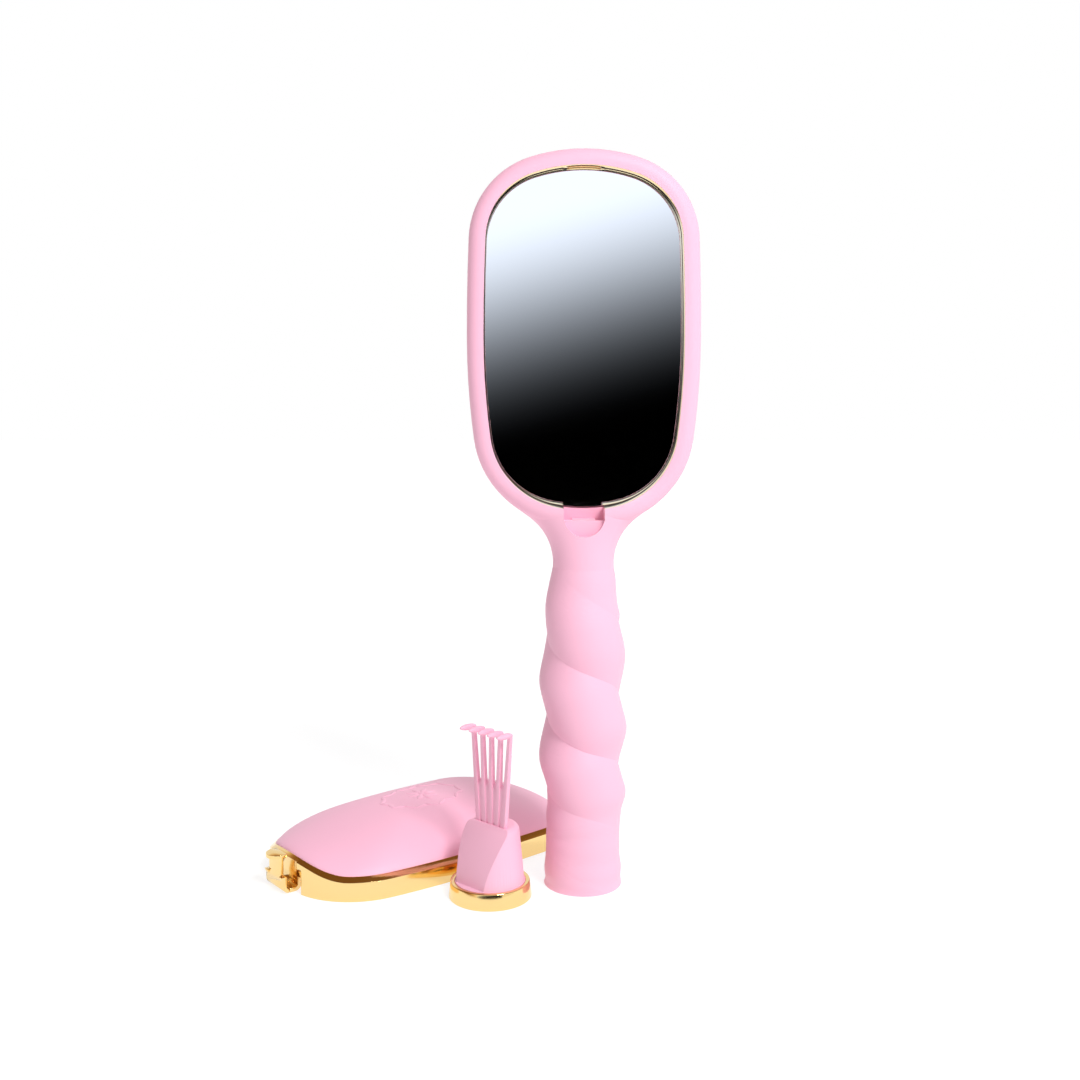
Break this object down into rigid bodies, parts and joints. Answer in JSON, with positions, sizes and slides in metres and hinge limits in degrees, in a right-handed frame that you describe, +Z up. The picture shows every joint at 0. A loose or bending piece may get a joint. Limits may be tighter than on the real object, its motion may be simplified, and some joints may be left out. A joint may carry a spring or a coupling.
{
  "type": "hairbrush with mirror",
  "caption": "Hairbrush standing on its hollow twisted handle, with a mirror in the back of the head, a domed lid for the mirror and a comb-like cleaning tool that is kept in the handle.",
  "frame": {"origin": "centre of the handle's open end, on the surface that the brush stands on", "axes": "+Z up along the handle to the head, -Y is where the mirror faces, +Y is the bristle side"},
  "size_m": [0.1434, 0.1026, 0.2384],
  "materials": {
    "pink": "soft-touch pink",
    "gold": "gold-plated plastic",
    "mirror": "silvered glass",
    "foam": "adhesive foam",
    "cushion": "matt rubber",
    "pins": "nylon"
  },
  "bodies": {
    "brush": {"brush_body": "pink", "mirror_bezel": "gold", "mirror_glass": "mirror", "mirror_pad": "foam", "cushion": "cushion", "cushion_ring": "pink", "pin_row_01": "pins", "pin_row_02": "pins", "pin_row_03": "pins", "pin_row_04": "pins", "pin_row_05": "pins", "pin_row_06": "pins", "pin_row_07": "pins", "pin_row_08": "pins", "pin_row_09": "pins", "pin_row_10": "pins", "pin_row_11": "pins", "pin_row_12": "pins", "pin_row_13": "pins"},
    "lid": {"lid_frame": "gold", "lid_dome": "pink"},
    "latch": {"latch_tongue": "gold"},
    "tool": {"end_cap": "gold", "tool_block": "pink", "rake": "pink"}
  },
  "joints": [
    {"name": "lid_lift", "type": "slide", "parent": "brush", "child": "lid", "axis": [0, 0, 1], "range_m": [0, 0.09]},
    {"name": "latch_press", "type": "hinge", "parent": "lid", "child": "latch", "pos_m": [-0.09871, -0.00547, 0.0022], "axis": [-0.6374, 0.7705, 0], "range_deg": [0, 5], "stiffness_Nm_per_rad": 0.2},
    {"name": "tool_lift", "type": "slide", "parent": "brush", "child": "tool", "axis": [0, 0, 1], "range_m": [0, 0.055]}
  ]
}
